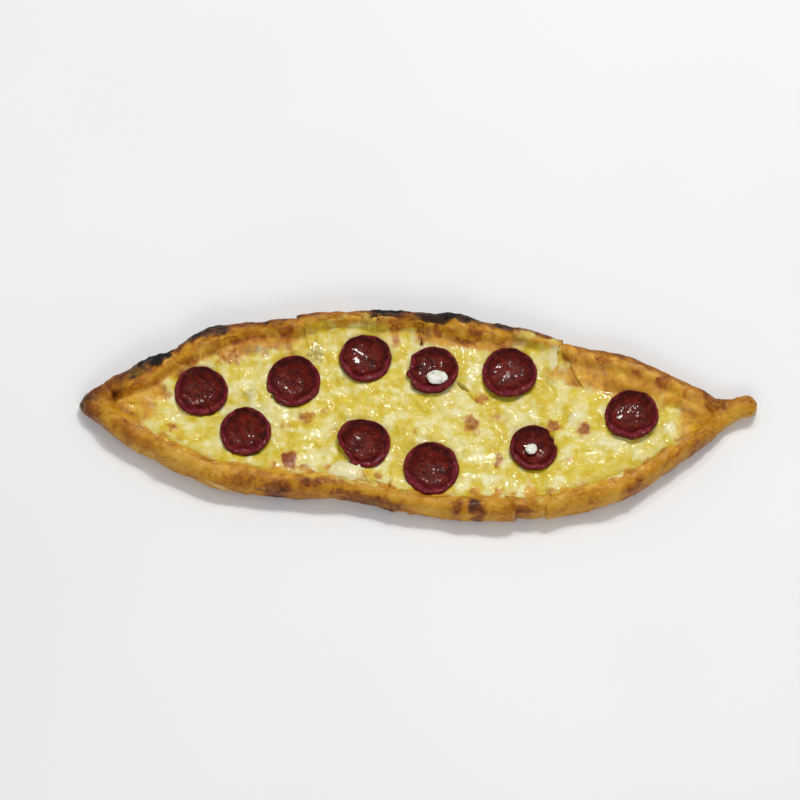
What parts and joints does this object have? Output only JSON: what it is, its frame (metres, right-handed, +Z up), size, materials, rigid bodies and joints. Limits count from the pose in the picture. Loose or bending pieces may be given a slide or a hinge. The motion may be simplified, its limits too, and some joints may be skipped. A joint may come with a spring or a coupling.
{
  "type": "turkish pide",
  "caption": "Boat-shaped flat bread with a folded rim and a twisted tail, filled with melted cheese and curled sausage slices, cut into zigzag wedges.",
  "frame": {"origin": "centre of the footprint, on the plane the flat bread rests on", "axes": "+X along the bread from the blunt tip to the twisted tail, +Y to the far rim, +Z up through the topping"},
  "size_m": [0.3796, 0.1273, 0.0205],
  "materials": {
    "baked_dough": "baked dough, golden brown with darker and charred patches, dull with a faint oily sheen",
    "melted_cheese": "melted cheese, pale yellow with oily yellow pools and browned spots, glossy",
    "cured_sausage": "cured sausage, dark red and oily",
    "fresh_cheese": "melted white cheese, glossy"
  },
  "bodies": {
    "root": {"crust_1": "baked_dough", "crust_2": "baked_dough", "crust_3": "baked_dough", "crust_4": "baked_dough", "crust_5": "baked_dough", "crust_6": "baked_dough", "crust_7": "baked_dough", "crust_8": "baked_dough", "cheese_1": "melted_cheese", "cheese_2": "melted_cheese", "cheese_3": "melted_cheese", "cheese_4": "melted_cheese", "cheese_5": "melted_cheese", "cheese_6": "melted_cheese", "cheese_7": "melted_cheese", "cheese_8": "melted_cheese", "sausage_1_left": "cured_sausage", "sausage_1_right": "cured_sausage", "sausage_2": "cured_sausage", "sausage_3": "cured_sausage", "sausage_4": "cured_sausage", "sausage_5": "cured_sausage", "sausage_6": "cured_sausage", "sausage_7": "cured_sausage", "sausage_8": "cured_sausage", "sausage_9": "cured_sausage", "sausage_10": "cured_sausage", "cheese_drop_1": "fresh_cheese", "cheese_drop_2": "fresh_cheese"}
  },
  "joints": []
}
